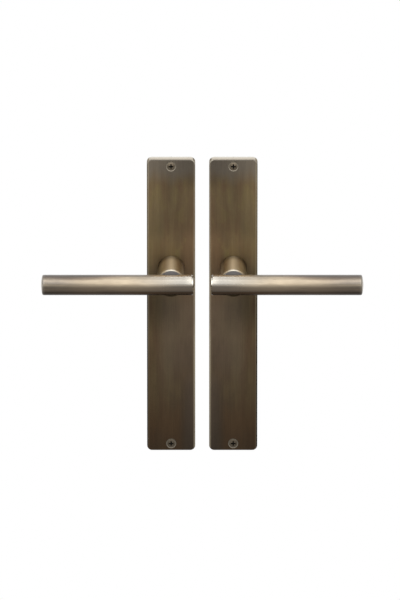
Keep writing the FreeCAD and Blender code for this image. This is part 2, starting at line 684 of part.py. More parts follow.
def make_spring():
    """Torsion spring round the bush's flange: fixed leg up in the plate, moving leg in the cam."""
    wire, radius = size("sizes.wire_diameter"), size("sizes.spring_diameter / 2")
    bend, pitch = size("sizes.spring_bend"), size("sizes.spring_pitch")
    turns = size("sizes.spring_turns")
    room = size(f"{COVER_FRONT} - {POCKET_FLOOR}") - wire - pitch * turns
    front = size(POCKET_FLOOR) + wire / 2 + room / 2

    def point(turn):
        angle = math.radians(SPRING_START + 360 * turn)
        place = FreeCAD.Vector(math.cos(angle), 0, math.sin(angle)) * radius
        return place + FreeCAD.Vector(0, front + pitch * turn, 0)

    def heading(turn):
        angle = math.radians(SPRING_START + 360 * turn)
        around = FreeCAD.Vector(-math.sin(angle), 0, math.cos(angle)) * (2 * math.pi * radius)
        return (around + FreeCAD.Vector(0, pitch, 0)).normalize()

    def outward(turn):
        angle = math.radians(SPRING_START + 360 * turn)
        return FreeCAD.Vector(math.cos(angle), 0, math.sin(angle))

    corner = point(0) - heading(0) * bend
    tip = corner + outward(0) * (size("sizes.leg_outside") - radius)
    bend_start = corner + outward(0) * bend
    edges = [Part.makeLine(tip, bend_start), arc_at_corner(bend_start, corner, point(0))]
    quarters = max(1, round(4 * turns))
    for quarter in range(quarters):
        here, there = turns * quarter / quarters, turns * (quarter + 1) / quarters
        edges += smooth_pair(point(here), heading(here), point(there), heading(there))
    corner = point(turns) + heading(turns) * bend
    bend_end = corner - outward(turns) * bend
    inner_tip = corner - outward(turns) * (radius - size("sizes.leg_inside"))
    edges += [arc_at_corner(point(turns), corner, bend_end), Part.makeLine(bend_end, inner_tip)]

    path = Part.Wire(edges)
    section = Part.Wire(Part.Circle(tip, outward(0), wire / 2).toShape())
    spring = doc.addObject("Part::Feature", "left_return_spring")
    spring.Shape = path.makePipeShell([section], True, False)
    spring.Placement = FreeCAD.Placement()
    expected = math.pi * wire**2 / 4 * path.Length
    print(f"spring wire {path.Length:.1f} mm, volume {spring.Shape.Volume / expected:.4f} of expected,"
          f" gap between turns {pitch - wire:.2f} mm")
    return spring


def mirror_piece(piece):
    """The right handle's copy of a left piece, mirrored about the middle of the pair."""
    copy = doc.addObject("Part::Mirroring", piece.Name.replace("left_", "right_"))
    copy.Source = piece
    copy.Normal = FreeCAD.Vector(1, 0, 0)
    copy.setExpression("Base.x", "(sizes.plate_width + sizes.pair_gap) / 2")
    return copy


left_pieces = [
    make_backplate(), make_bush(), make_neck(), make_bar(), make_bar_screw(),
    make_grub_screw(), make_washer(), make_circlip(), make_cam(), make_stop_pin(),
    make_spring(), make_cover(), make_cover_screws(), make_door_screws(),
]
pieces = left_pieces + [mirror_piece(piece) for piece in left_pieces] + [make_spindle()]
doc.recompute()

for item in doc.Objects:
    if "Invalid" in item.State or "Error" in item.State:
        raise RuntimeError(f"{item.Name} did not build: {item.State}")
SCREW_GROUPS = ("door_screws", "cover_screws")
for piece in pieces:
    wanted = 2 if piece.Label.endswith(SCREW_GROUPS) else 1
    if piece.Shape.isNull() or not piece.Shape.isValid() or len(piece.Shape.Solids) != wanted:
        raise RuntimeError(f"{piece.Label} is not {wanted} sound solid(s)")

os.makedirs("parts", exist_ok=True)
for piece in pieces:
    piece.Shape.exportStep(f"parts/{piece.Label}.step")
    print(f"{piece.Label}: {piece.Shape.Volume:.1f} cubic mm")
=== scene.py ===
import bmesh
import bpy
import json
import math
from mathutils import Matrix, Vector


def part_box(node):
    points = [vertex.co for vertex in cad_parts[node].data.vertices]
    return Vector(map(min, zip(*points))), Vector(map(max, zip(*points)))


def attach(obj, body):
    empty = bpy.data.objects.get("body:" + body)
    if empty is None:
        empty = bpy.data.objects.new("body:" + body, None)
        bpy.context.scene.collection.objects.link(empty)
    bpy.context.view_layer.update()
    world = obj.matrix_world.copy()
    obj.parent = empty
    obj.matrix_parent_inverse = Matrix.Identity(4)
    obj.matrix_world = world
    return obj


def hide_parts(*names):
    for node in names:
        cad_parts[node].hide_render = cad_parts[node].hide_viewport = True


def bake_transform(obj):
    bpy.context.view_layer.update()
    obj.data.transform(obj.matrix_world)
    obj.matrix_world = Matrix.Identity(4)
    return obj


# A left and a right door lever on long backplates. Metres, +Z up, +Y into the door, and the
# origin on the left spindle's axis in the plane of the door's surface.

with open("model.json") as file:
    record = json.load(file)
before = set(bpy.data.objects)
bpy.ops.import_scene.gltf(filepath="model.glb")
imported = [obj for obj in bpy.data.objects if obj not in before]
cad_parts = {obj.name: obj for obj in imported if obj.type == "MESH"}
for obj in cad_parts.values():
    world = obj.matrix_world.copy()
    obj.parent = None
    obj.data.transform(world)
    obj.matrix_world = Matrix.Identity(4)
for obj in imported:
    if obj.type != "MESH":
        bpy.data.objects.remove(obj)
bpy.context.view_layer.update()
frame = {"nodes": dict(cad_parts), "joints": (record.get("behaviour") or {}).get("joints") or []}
nodes = frame["nodes"]
scene = bpy.context.scene

# Places read from the frame

# The handles are mirror images, so their finishes measure u, the distance from the middle of
# the pair to either side. Inside is toward that middle and outside away from it.
LEVER_X = {joint["child"].split("_")[0]: joint["pos_m"][0] for joint in frame["joints"]}
PAIR_MIDDLE = (LEVER_X["left"] + LEVER_X["right"]) / 2
LEVER_U = LEVER_X["right"] - PAIR_MIDDLE

plate_low, plate_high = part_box("right_backplate")
PLATE_FACE = plate_low.y
PLATE_FOOT = plate_low.z
PLATE_TOP = plate_high.z
PLATE_INSIDE = plate_low.x - PAIR_MIDDLE
PLATE_OUTSIDE = plate_high.x - PAIR_MIDDLE

bar_low, bar_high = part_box("right_lever_bar")
BAR_AXIS = (bar_low.y + bar_high.y) / 2
BAR_START = bar_low.x - PAIR_MIDDLE
BAR_END = bar_high.x - PAIR_MIDDLE

NECK_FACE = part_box("right_neck")[0].y

# Camera: straight in front and tilted down, far away with a long lens

VIEW_TILT = math.radians(17.5)
VIEW_DISTANCE = 10.0
VIEW_LENS = 761.0
SENSOR_WIDTH = 36.0
# the point in the middle of the picture, a little left of the pair's middle and below the levers
VIEW_AIM = Vector((0.022765, 0.0, -0.0283))


def make_camera():
    data = bpy.data.cameras.new("camera")
    data.sensor_width = SENSOR_WIDTH
    data.lens = VIEW_LENS
    data.clip_start = 0.1
    data.clip_end = 100.0
    camera = bpy.data.objects.new("camera", data)
    scene.collection.objects.link(camera)
    back = Vector((0.0, -math.cos(VIEW_TILT), math.sin(VIEW_TILT)))
    camera.location = VIEW_AIM + back * VIEW_DISTANCE
    camera.rotation_euler = (math.pi / 2 - VIEW_TILT, 0.0, 0.0)
    scene.camera = camera


# Calls that the finishes share


class Shader:
    """A material's node tree, with short calls for the nodes that the finishes use."""

    def __init__(self, name, **surface):
        self.material = bpy.data.materials.new(name)
        self.material.use_nodes = True
        self.tree = self.material.node_tree
        self.surface = self.tree.nodes["Principled BSDF"]
        self.set(**surface)

    def set(self, **surface):
        """Sets or links the surface's inputs, named with an underscore for each space."""
        for key, value in surface.items():
            self.put(self.surface.inputs[key.replace("_", " ")], value)

    def put(self, socket, value):
        if isinstance(value, bpy.types.NodeSocket):
            self.tree.links.new(value, socket)
        elif isinstance(value, tuple) and len(value) == 3 and socket.type == "RGBA":
            socket.default_value = (*value, 1.0)
        else:
            socket.default_value = value

    def node(self, kind, inputs, **settings):
        made = self.tree.nodes.new(kind)
        for key, value in settings.items():
            setattr(made, key, value)
        for key, value in inputs.items():
            self.put(made.inputs[key], value)
        return made

    def math(self, operation, *values):
        inputs = dict(enumerate(values))
        return self.node("ShaderNodeMath", inputs, operation=operation).outputs[0]

    def product(self, first, *others):
        for other in others:
            first = self.math("MULTIPLY", first, other)
        return first

    def distance(self, across, up):
        """How far a point is from the centre that across and up are measured from."""
        squares = [self.math("MULTIPLY", way, way) for way in (across, up)]
        return self.math("SQRT", self.math("ADD", *squares))

    def place(self):
        """u, y and z on the object."""
        coordinates = self.node("ShaderNodeTexCoord", {}).outputs["Object"]
        x, y, z = self.node("ShaderNodeSeparateXYZ", {0: coordinates}).outputs
        return self.math("ABSOLUTE", self.math("SUBTRACT", x, PAIR_MIDDLE)), y, z

    def vector(self, x, y, z):
        return self.node("ShaderNodeCombineXYZ", {0: x, 1: y, 2: z}).outputs[0]

    def noise(self, place, scales, detail=2, roughness=0.6, seed=0):
        """Noise whose scale along x, y and z is given in features per metre."""
        stretched = [self.math("MULTIPLY", axis, scale) for axis, scale in zip(place, scales)]
        stretched[1] = self.math("ADD", stretched[1], seed)
        inputs = {
            "Vector": self.vector(*stretched), "Scale": 1.0, "Detail": detail,
            "Roughness": roughness, "Distortion": 0.0,
        }
        return self.node("ShaderNodeTexNoise", inputs, noise_dimensions="3D").outputs["Fac"]

    def span(self, value, low, high, at_low, at_high, kind="SMOOTHSTEP"):
        """From one value to another as the input goes from low to high, softly unless LINEAR."""
        inputs = {"Value": value, 1: low, 2: high, 3: at_low, 4: at_high}
        return self.node("ShaderNodeMapRange", inputs, interpolation_type=kind).outputs[0]

    def rise(self, value, low, high, height=1.0):
        """0 up to low, and the height from high on."""
        return self.span(value, low, high, 0.0, height)

    def fall(self, value, low, high, height=1.0):
        """The height up to low, and 0 from high on."""
        return self.span(value, low, high, height, 0.0)

    def ripple(self, noise, dim, bright):
        """From dim to bright in a straight line, over the values that noise mostly has."""
        return self.span(noise, 0.3, 0.7, dim, bright, "LINEAR")

    def gain(self, zone, amount):
        """A tone that is 1 outside a zone and 1 plus the amount inside it."""
        return self.math("MULTIPLY_ADD", zone, amount, 1.0)

    def mix(self, factor, first, second, mode="MIX"):
        made = self.tree.nodes.new("ShaderNodeMix")
        made.data_type = "RGBA"
        made.blend_type = mode
        self.put(made.inputs[0], factor)
        self.put(made.inputs[6], first)
        self.put(made.inputs[7], second)
        return made.outputs[2]

    def tint(self, zone, colour, filter_colour):
        """The colour, seen through a filter within a zone."""
        return self.mix(zone, colour, filter_colour, "MULTIPLY")

    def shade(self, colour, *tones):
        """A colour times each of the tones."""
        tone = self.product(*tones)
        return self.tint(1.0, colour, self.vector(tone, tone, tone))

    def flattened_normal(self, keep):
        """The surface's normal with its part along the object's x axis scaled by keep."""
        normal = self.node("ShaderNodeTexCoord", {}).outputs["Normal"]
        x, y, z = self.node("ShaderNodeSeparateXYZ", {0: normal}).outputs
        bent = self.vector(self.math("MULTIPLY", x, keep), y, z)
        turned = self.node(
            "ShaderNodeVectorTransform", {"Vector": bent}, vector_type="NORMAL",
            convert_from="OBJECT", convert_to="WORLD",
        ).outputs[0]
        return self.node("ShaderNodeVectorMath", {0: turned}, operation="NORMALIZE").outputs[0]

    def bump(self, height, strength, distance, normal=None):
        inputs = {"Height": height, "Strength": strength, "Distance": distance}
        if normal is not None:
            inputs["Normal"] = normal
        return self.node("ShaderNodeBump", inputs).outputs[0]


def paint(material, *names):
    for name in names:
        slots = nodes[name].data.materials
        slots.clear()
        slots.append(material)


def both(name):
    return f"left_{name}", f"right_{name}"


# Plate's finish: antique brass brushed along its height, with a painted sheen that makes it greyer on top,
# painted highlights and shade at its edges, and painted light, shadow and reflections round the lever

# In each finish s is its Shader, and a zone is a named value from 0 to 1. The zone's bounds are
# metres along u, y and z, and a last number in rise or fall is how strongly the zone shows.
OLIVE = (0.176, 0.128, 0.063)
UMBER = (0.148, 0.095, 0.050)
VERDURE = (0.182, 0.136, 0.056)
HAZE = (0.155, 0.112, 0.078)
RUSSET = (0.162, 0.089, 0.038)
SMOKE = (0.094, 0.071, 0.045)
# a painted sheen that makes the plate's top greyer
SHEEN_GREY = (0.165, 0.140, 0.109)
# painted highlight along the edges, and painted shade on the outer side
EDGE_HIGHLIGHT = (0.50, 0.43, 0.30)
SIDE_SHADE = (0.030, 0.024, 0.018)
EDGE_TINT = (0.55, 0.50, 0.42)
# hues of the painted shade low on the outer side and of the painted reflection of the neck
SHADED_OUTER_FILTER = (1.0, 0.93, 0.89)
NECK_REFLECTION_FILTER = (1.20, 1.36, 1.32)
# painted light on the top: a dark front rounding, bright further back
TOP_FRONT = (0.115, 0.10, 0.08)
TOP_MIDDLE = (0.66, 0.61, 0.53)
TOP_BACK = (0.80, 0.77, 0.71)
# painted shade on the outer top corner and a painted highlight on the inner one
OUTER_CORNER = (0.22, 0.20, 0.17)
INNER_CORNER = (0.42, 0.39, 0.32)
# the rounding of the plate's four corners, as in the source
CORNER_RADIUS = 0.004
# depth of the brass's brushed and turned lines
BRUSH_DEPTH = 0.0002


def plate_patina(s, place, cloud):
    """The plate's colour: zones of olive, brown and grey that run into each other, and a painted sheen
    that makes its top greyer.
    """
    u, _, z = place
    broad = s.noise(place, (110, 40, 24), roughness=0.5)
    petals = s.noise(place, (170, 50, 85), detail=3, seed=23)
    sideways = s.span(u, 0.010, 0.044, 0.12, -0.10)
    brown = s.rise(s.math("ADD", broad, sideways), 0.30, 0.68)
    hazy = s.product(s.rise(z, -0.105, -0.070), s.fall(z, -0.034, -0.010), s.fall(u, 0.026, 0.040, 0.55))
    inside = s.product(s.fall(u, 0.009, 0.020, 0.7), s.fall(z, -0.100, -0.070))
    foot = s.product(s.fall(z, -0.135, -0.095, 0.7), s.rise(u, 0.012, 0.020))
    bloom = s.product(s.rise(petals, 0.50, 0.66, 0.38), s.rise(z, -0.004, 0.012))
    ragged = s.math("MULTIPLY_ADD", cloud, 0.016, z)
    colour = s.mix(brown, OLIVE, UMBER)
    colour = s.mix(s.math("MAXIMUM", hazy, inside), colour, HAZE)
    colour = s.mix(foot, colour, RUSSET)
    colour = s.mix(bloom, colour, VERDURE)
    colour = s.mix(s.rise(cloud, 0.52, 0.70, 0.25), colour, SMOKE)
    # painted sheen: greyer toward the top
    return s.mix(s.rise(ragged, 0.075, 0.090, 0.85), colour, SHEEN_GREY)


def plate_light(s, place, colour, grain):
    """The colour with painted light and shade: painted light beside and above the lever and on its inner
    side, a painted shadow below the lever, painted reflections of the lever and its neck above it, painted
    shade high and low on its inner side and low on its outer side, and painted shade that darkens it
    toward the foot.
    """
    u, _, z = place
    from_lever = s.math("ABSOLUTE", s.math("SUBTRACT", u, LEVER_U))
    # painted light beside the lever, high on the outer side and on the inner side
    outer = s.product(s.rise(u, 0.024, 0.041), s.rise(z, 0.020, 0.062))
    inner = s.product(s.fall(u, 0.007, 0.017), s.rise(z, -0.090, -0.010), s.fall(z, 0.055, 0.075))
    # painted shadow of the lever below it
    shadow_below_lever = s.product(s.rise(z, -0.062, -0.034), s.fall(z, -0.016, 0.006), s.rise(u, 0.014, 0.036))
    # painted shade low on the outer side
    shaded_outer_low = s.product(s.rise(u, 0.028, 0.040), s.fall(z, -0.030, 0.000))
    # painted shade high and low on the inner side
    top_inside = s.product(s.fall(u, 0.016, 0.024), s.rise(z, 0.064, 0.074))
    low_inside = s.product(s.rise(u, 0.0085, 0.0105), s.fall(u, 0.0150, 0.0175), s.fall(z, -0.100, -0.085))
    # painted reflections of the lever and of its neck in the plate above them
    above_lever = s.product(s.rise(z, -0.004, 0.006), s.fall(z, 0.020, 0.034))
    neck_reflection = s.product(s.fall(from_lever, 0.002, 0.013), s.fall(z, 0.010, 0.036), s.rise(z, 0.004, 0.009))
    colour = s.shade(
        colour,
        *grain,
        s.gain(outer, 0.40),
        s.gain(inner, 0.20),
        s.gain(shadow_below_lever, -0.42),
        s.gain(shaded_outer_low, -0.14),
        s.gain(top_inside, -0.12),
        s.gain(low_inside, -0.15),
        s.gain(above_lever, 0.25),
        # painted shade: darker toward the foot and just below the lever, and a little darker high up
        s.span(z, -0.150, -0.055, 0.42, 1.0, "LINEAR"),
        s.span(z, -0.030, -0.014, 0.86, 1.0),
        s.span(z, 0.018, 0.046, 1.0, 0.86),
    )
    # hues of the painted shade low on the outer side and of the painted reflection of the neck
    colour = s.tint(shaded_outer_low, colour, SHADED_OUTER_FILTER)
    return s.tint(neck_reflection, colour, NECK_REFLECTION_FILTER)


def plate_edges(s, place, colour, cloud):
    """The colour with painted shade on the outer side, painted highlights along the edges that noise
    breaks up, a painted highlight on the top with a dark front rounding, and painted shade and highlight
    on the top corners; and the painted side shade's zone.
    """
    u, y, z = place
    depth = s.math("SUBTRACT", y, PLATE_FACE)
    # noise that breaks up the painted highlights along the edges
    edge_breakup = s.span(cloud, 0.25, 0.6, 0.5, 1.0)
    to_side = s.math("SUBTRACT", PLATE_OUTSIDE, u)
    from_inside = s.math("SUBTRACT", u, PLATE_INSIDE)
    # painted highlight on the outer edge's rounding
    outer_highlight = s.product(
        s.rise(to_side, 0.0003, 0.0007), s.fall(to_side, 0.0013, 0.0019),
        s.span(z, -0.10, 0.03, 0.10, 0.45), edge_breakup,
    )
    # painted shade on the outer side
    shaded_side = s.product(
        s.fall(to_side, 0.0006, 0.0011), s.span(z, -0.06, 0.04, 1.0, 0.35),
        s.span(depth, 0.0007, 0.0020, 1.0, 0.5),
    )
    # painted highlight on the inner edge
    inner_highlight = s.product(
        s.fall(from_inside, 0.0005, 0.0019, 0.8), s.span(z, -0.03, 0.06, 1.0, 0.5),
        s.span(z, -0.15, -0.04, 0.6, 1.0), edge_breakup,
    )
    colour = s.mix(outer_highlight, colour, EDGE_HIGHLIGHT)
    colour = s.mix(shaded_side, colour, SIDE_SHADE)
    colour = s.mix(inner_highlight, colour, EDGE_HIGHLIGHT)
    # painted highlight on the top, dark at its front rounding
    top = s.mix(s.rise(depth, 0.0038, 0.0064), TOP_MIDDLE, TOP_BACK)
    top = s.mix(s.fall(depth, 0.0004, 0.0009), top, TOP_FRONT)
    colour = s.mix(s.fall(s.math("SUBTRACT", PLATE_TOP, z), 0.0005, 0.0009), colour, top)
    # painted shade on the outer top corner's rounding and a painted highlight on the inner one
    up = s.math("SUBTRACT", z, PLATE_TOP - CORNER_RADIUS)
    for side, toward, tone in ((PLATE_OUTSIDE, 1.0, OUTER_CORNER), (PLATE_INSIDE, -1.0, INNER_CORNER)):
        out = s.math("MULTIPLY", s.math("SUBTRACT", u, side - toward * CORNER_RADIUS), toward)
        arc = s.product(
            s.rise(s.distance(out, up), 0.0032, 0.0038), s.rise(out, 0.0002, 0.0022, 0.75),
            s.rise(up, -0.0006, 0.0006), s.fall(depth, 0.0008, 0.0014),
        )
        colour = s.mix(arc, colour, tone)
    return colour, shaded_side


def plate_brass():
    s = Shader("aged_brass_plate", Metallic=1.0, Specular_Tint=EDGE_TINT, Coat_Roughness=0.4)
    place = s.place()
    cloud = s.noise(place, (70, 30, 26), detail=3, roughness=0.55, seed=3)
    streak = s.noise(place, (420, 60, 12), roughness=0.5, seed=7)
    mottle = s.noise(place, (230, 60, 90), detail=3, seed=17)
    hair = s.noise(place, (4600, 200, 70), seed=11)
    scratch = s.noise(place, (1500, 60, 45), detail=3, seed=29)
    grain = (
        s.ripple(streak, 0.96, 1.04), s.ripple(mottle, 0.95, 1.05),
        s.ripple(hair, 0.97, 1.03), s.ripple(scratch, 0.93, 1.07),
    )
    colour = plate_patina(s, place, cloud)
    colour = plate_light(s, place, colour, grain)
    colour, shaded_side = plate_edges(s, place, colour, cloud)
    s.set(
        Base_Color=colour,
        Coat_Weight=s.fall(shaded_side, 0.0, 1.0, 0.25),
        Roughness=s.ripple(streak, 0.42, 0.47),
        Normal=s.bump(hair, 0.10, BRUSH_DEPTH),
    )
    return s.material


# Neck's finish: the same brass turned on a lathe, so its light runs in a streak along the neck, helped by
# a painted highlight streak on top, with a painted highlight on its front rim and painted shade on its
# flanks, underside and where it meets the plate

# how far the rim's painted highlight reaches back from the neck's front face
NECK_RIM = 0.0009
NECK_LIGHT = (0.30, 0.215, 0.11)
NECK_DARK = (0.22, 0.145, 0.075)
# painted highlights on the neck's top and front rim
NECK_CROWN = (0.44, 0.355, 0.235)
NECK_RIM_COLOUR = (0.50, 0.46, 0.38)
NECK_FACE_LOW = (0.13, 0.105, 0.062)
NECK_FACE_HIGH = (0.125, 0.121, 0.125)
# warm tint of the painted shade underneath, and painted light on the inner flank
NECK_UNDER_FILTER = (1.0, 0.90, 0.66)
NECK_INWARD = (0.26, 0.19, 0.118)


def neck_brass():
    s = Shader(
        "aged_brass_neck", Metallic=1.0, Specular_Tint=EDGE_TINT, Coat_Weight=0.1,
        Coat_Roughness=0.3, Anisotropic=0.9, Anisotropic_Rotation=0.25, Roughness=0.42,
    )
    place = s.place()
    u, y, z = place
    rings = s.noise(place, (30, 2600, 30))
    blotch = s.noise(place, (130, 70, 130), detail=3, seed=5)
    aside = s.math("ABSOLUTE", s.math("SUBTRACT", u, LEVER_U))
    # painted highlight streak along the top
    crown = s.product(s.fall(aside, 0.0004, 0.0060), s.rise(z, 0.0, 0.006))
    rim_end = NECK_FACE + NECK_RIM
    # painted highlight on the front rim, strongest at its top
    rim = s.product(
        s.fall(y, rim_end, rim_end + 0.0002), s.span(aside, 0.0018, 0.0052, 1.0, 0.22),
        s.rise(z, -0.002, 0.004),
    )
    face = s.fall(y, NECK_FACE + 0.00002, NECK_FACE + 0.0001)
    face_colour = s.mix(s.rise(z, -0.002, 0.002), NECK_FACE_LOW, NECK_FACE_HIGH)
    # painted light on the inner flank
    inward = s.product(
        s.rise(aside, 0.0070, 0.0104), s.fall(u, 0.0165, 0.0185), s.rise(z, -0.011, 0.007)
    )
    colour = s.mix(s.rise(blotch, 0.38, 0.65), NECK_LIGHT, NECK_DARK)
    # painted shade on the flanks and the lower half; the rings are the turned grain
    colour = s.shade(
        colour,
        s.ripple(rings, 0.93, 1.07),
        s.span(aside, 0.0050, 0.0105, 0.80, 0.30),
        s.span(z, -0.006, 0.005, 0.5, 1.0),
    )
    colour = s.mix(crown, colour, NECK_CROWN)
    # painted shade near the plate
    colour = s.shade(colour, s.span(s.math("SUBTRACT", PLATE_FACE, y), 0.001, 0.013, 0.48, 1.0))
    colour = s.mix(rim, colour, NECK_RIM_COLOUR)
    colour = s.mix(face, colour, face_colour)
    # painted shade underneath, tinted warm
    colour = s.shade(colour, s.span(z, -0.0095, -0.0060, 0.32, 1.0))
    colour = s.tint(s.fall(z, -0.0080, -0.0040), colour, NECK_UNDER_FILTER)
    s.set(
        Base_Color=s.mix(inward, colour, NECK_INWARD),
        Normal=s.bump(rings, 0.08, BRUSH_DEPTH),
        Tangent=s.node("ShaderNodeTangent", {}, direction_type="RADIAL", axis="Y").outputs[0],
    )
    return s.material


# Bar's finish: lighter satin brass, polished toward the neck, brown and darker toward its far end, with
# painted highlight bands along it and brown painted shade below

BAR_LIGHT = (0.33, 0.265, 0.178)
BAR_DARK = (0.25, 0.195, 0.128)
# near the neck: the lower half's colour, and the upper half's with a painted whiter sheen
NEAR_LOW = (0.225, 0.185, 0.137)
NEAR_HIGH = (0.218, 0.200, 0.170)
# painted highlight on the top near the neck, and hues of the painted highlights further out
TOP_NEAR_FILTER = (2.60, 2.66, 2.84)
TOP_FAR_FILTER = (1.02, 0.88, 0.82)
FAR_END_FILTER = (1.0, 1.01, 1.10)
# warm hues of the painted shade below
LOW_FILTER = (0.98, 0.78, 0.58)
UNDER_NEAR_FILTER = (0.80, 0.60, 0.36)
UNDER_FAR_FILTER = (1.0, 0.88, 0.78)
# painted highlights on the ends and the near end's rounding, with painted shade above and a painted
# highlight below on that rounding
END_HIGHLIGHT = (0.365, 0.338, 0.290)
TIP = (0.84, 0.80, 0.70)
TIP_ABOVE_FILTER = (0.45, 0.40, 0.33)
TIP_BELOW_FILTER = (1.50, 1.50, 1.28)
BAR_FACE = (0.31, 0.25, 0.17)


def bar_light(s, u, z, colour, lines):
    """The colour with painted highlight and painted shade bands that run along the bar, from below to its
    top, and darker toward its far end.
    """
    # the zones here are painted highlights and painted shade, in bands as the bar reflects light; the
    # lines are its own grain
    crown_start = s.math("ADD", s.span(u, 0.045, 0.075, 0.0066, 0.0058), s.rise(u, 0.075, 0.096, -0.0016))
    crown_start = s.math("ADD", crown_start, s.rise(u, 0.100, 0.118, 0.0018))
    crown = s.span(z, crown_start, 0.0081, 0.0, 1.0)
    crown_tone = s.span(s.rise(u, 0.030, 0.100), 0.0, 1.0, 0.35, -0.72)
    notch = s.product(s.fall(u, 0.018, 0.040), s.rise(z, -0.0004, 0.0010), s.fall(z, 0.0014, 0.0024))
    patch = s.product(s.rise(u, 0.024, 0.034), s.fall(u, 0.044, 0.056), s.rise(z, 0.0030, 0.0045))
    level = s.math("SUBTRACT", z, s.rise(u, 0.090, 0.118, 0.0009))
    belly = s.product(s.rise(level, 0.0012, 0.0022), s.fall(level, 0.0030, 0.0042))
    hollow = s.product(s.rise(z, -0.0012, 0.0000), s.fall(z, 0.0010, 0.0022), s.rise(u, 0.085, 0.120))
    ridge = s.product(s.rise(u, 0.030, 0.045), s.fall(u, 0.095, 0.115), s.rise(z, 0.0070, 0.0079))
    under_near = s.product(s.fall(u, 0.03, 0.07), s.fall(z, -0.0045, -0.0028))
    colour = s.shade(
        colour,
        s.ripple(lines, 0.93, 1.06),
        s.span(u, 0.085, 0.122, 0.90, 0.60),
        s.gain(notch, -0.42),
        s.gain(patch, -0.14),
        s.gain(belly, s.span(u, 0.070, 0.120, 0.22, -0.28)),
        s.gain(hollow, -0.25),
        s.gain(ridge, -0.40),
        s.gain(under_near, 0.45),
        s.gain(crown, crown_tone),
        # painted shade that deepens toward the bottom
        s.span(z, -0.0045, -0.0008, 0.45, 1.65),
        s.span(z, -0.0024, -0.0008, 0.82, 1.0),
        s.span(z, -0.0006, 0.0026, 0.50, 1.0),
        s.span(z, -0.0002, 0.0014, 1.0, 0.88),
        s.span(z, 0.0002, 0.0040, 1.0, 0.74),
    )
    # painted highlight on the top near the neck, and hues of the painted highlights at the far end
    top_near = s.product(s.rise(z, 0.0073, 0.0077), s.fall(u, 0.030, 0.050))
    top_far = s.product(crown, s.rise(u, 0.050, 0.080))
    far_end = s.product(s.rise(u, 0.095, 0.115), s.rise(z, 0.0022, 0.0040))
    under_filter = s.mix(s.rise(u, 0.04, 0.10), UNDER_NEAR_FILTER, UNDER_FAR_FILTER)
    colour = s.tint(top_near, colour, TOP_NEAR_FILTER)
    colour = s.tint(top_far, colour, TOP_FAR_FILTER)
    colour = s.tint(far_end, colour, FAR_END_FILTER)
    # painted shade below, tinted warm
    colour = s.tint(s.fall(z, -0.0050, 0.0032), colour, LOW_FILTER)
    return s.tint(s.fall(z, -0.0050, -0.0034), colour, under_filter)


def bar_end_light(s, u, z, from_start, colour):
    """The colour with painted highlights at both ends, brightest on the near end's rounding, and painted
    shade on the top of that rounding with a painted highlight below it.
    """
    # painted highlight on the near end's upper part and on the far end's rim
    near_end = s.product(s.fall(from_start, 0.0005, 0.0087), s.rise(z, 0.0018, 0.0030))
    highlit_ends = s.math("ADD", near_end, s.rise(u, 0.1228, 0.1258, 0.35))
    # painted highlight on the near end's rounding
    tip = s.product(
        s.fall(from_start, 0.0010, 0.0021), s.rise(z, 0.0014, 0.0032), s.fall(z, 0.0062, 0.0072)
    )
    rounding = s.fall(from_start, 0.0003, 0.0021)
    colour = s.mix(highlit_ends, colour, END_HIGHLIGHT)
    colour = s.mix(tip, colour, TIP)
    # painted shade on the rounding's top and a painted highlight on its lower part
    colour = s.tint(s.product(rounding, s.rise(z, 0.0064, 0.0072)), colour, TIP_ABOVE_FILTER)
    return s.tint(s.product(rounding, s.fall(z, 0.0000, 0.0022)), colour, TIP_BELOW_FILTER)


def bar_brass():
    s = Shader("satin_brass_bar", Metallic=1.0, Coat_IOR=1.7, Coat_Roughness=0.3)
    place = s.place()
    u, y, z = place
    from_start = s.math("SUBTRACT", u, BAR_START)
    to_end = s.math("SUBTRACT", BAR_END, u)
    reach = s.distance(s.math("SUBTRACT", y, BAR_AXIS), z)
    broad = s.noise(place, (34, 110, 150), detail=3)
    lines = s.noise(place, (22, 1500, 1500), detail=3, roughness=0.65, seed=9)
    hair = s.noise(place, (110, 6500, 6500), seed=2)
    turned = s.noise((u, reach, u), (40, 2400, 40), seed=4)
    face = s.math("MAXIMUM", s.fall(from_start, 0.0015, 0.0019), s.fall(to_end, 0.0015, 0.0019))
    face = s.product(face, s.fall(reach, 0.0064, 0.0070))
    grain = s.math("MULTIPLY_ADD", s.math("SUBTRACT", turned, hair), face, hair)
    colour = s.mix(s.rise(broad, 0.40, 0.64), BAR_LIGHT, BAR_DARK)
    # painted sheen: near the neck the upper half is whiter
    near_colour = s.mix(s.rise(z, 0.0014, 0.0030), NEAR_LOW, NEAR_HIGH)
    colour = s.mix(s.fall(u, 0.012, 0.060), colour, near_colour)
    colour = bar_light(s, u, z, colour, lines)
    colour = bar_end_light(s, u, z, from_start, colour)
    colour = s.mix(face, colour, s.shade(BAR_FACE, s.ripple(turned, 0.90, 1.10)))
    coat_below = s.span(u, 0.03, 0.07, 0.0, 0.2)
    coat = s.span(z, -0.0045, -0.0022, coat_below, 0.8)
    face_roughness = s.rise(face, 0.0, 1.0, 0.46)
    keep = s.math("MAXIMUM", s.span(from_start, 0.0011, 0.0016, 0.25, 1.0), face)
    s.set(
        Base_Color=colour,
        Coat_Weight=s.product(coat, s.span(from_start, 0.0009, 0.0027, 0.7, 1.0)),
        Roughness=s.math("MAXIMUM", s.span(u, 0.012, 0.060, 0.24, 0.35), face_roughness),
        Normal=s.bump(grain, 0.12, BRUSH_DEPTH, s.flattened_normal(keep)),
    )
    return s.material


# Door screws' finish: tarnished brass with a painted highlight on its rim, painted black shade in its
# cross recess, and the lower screw painted darker

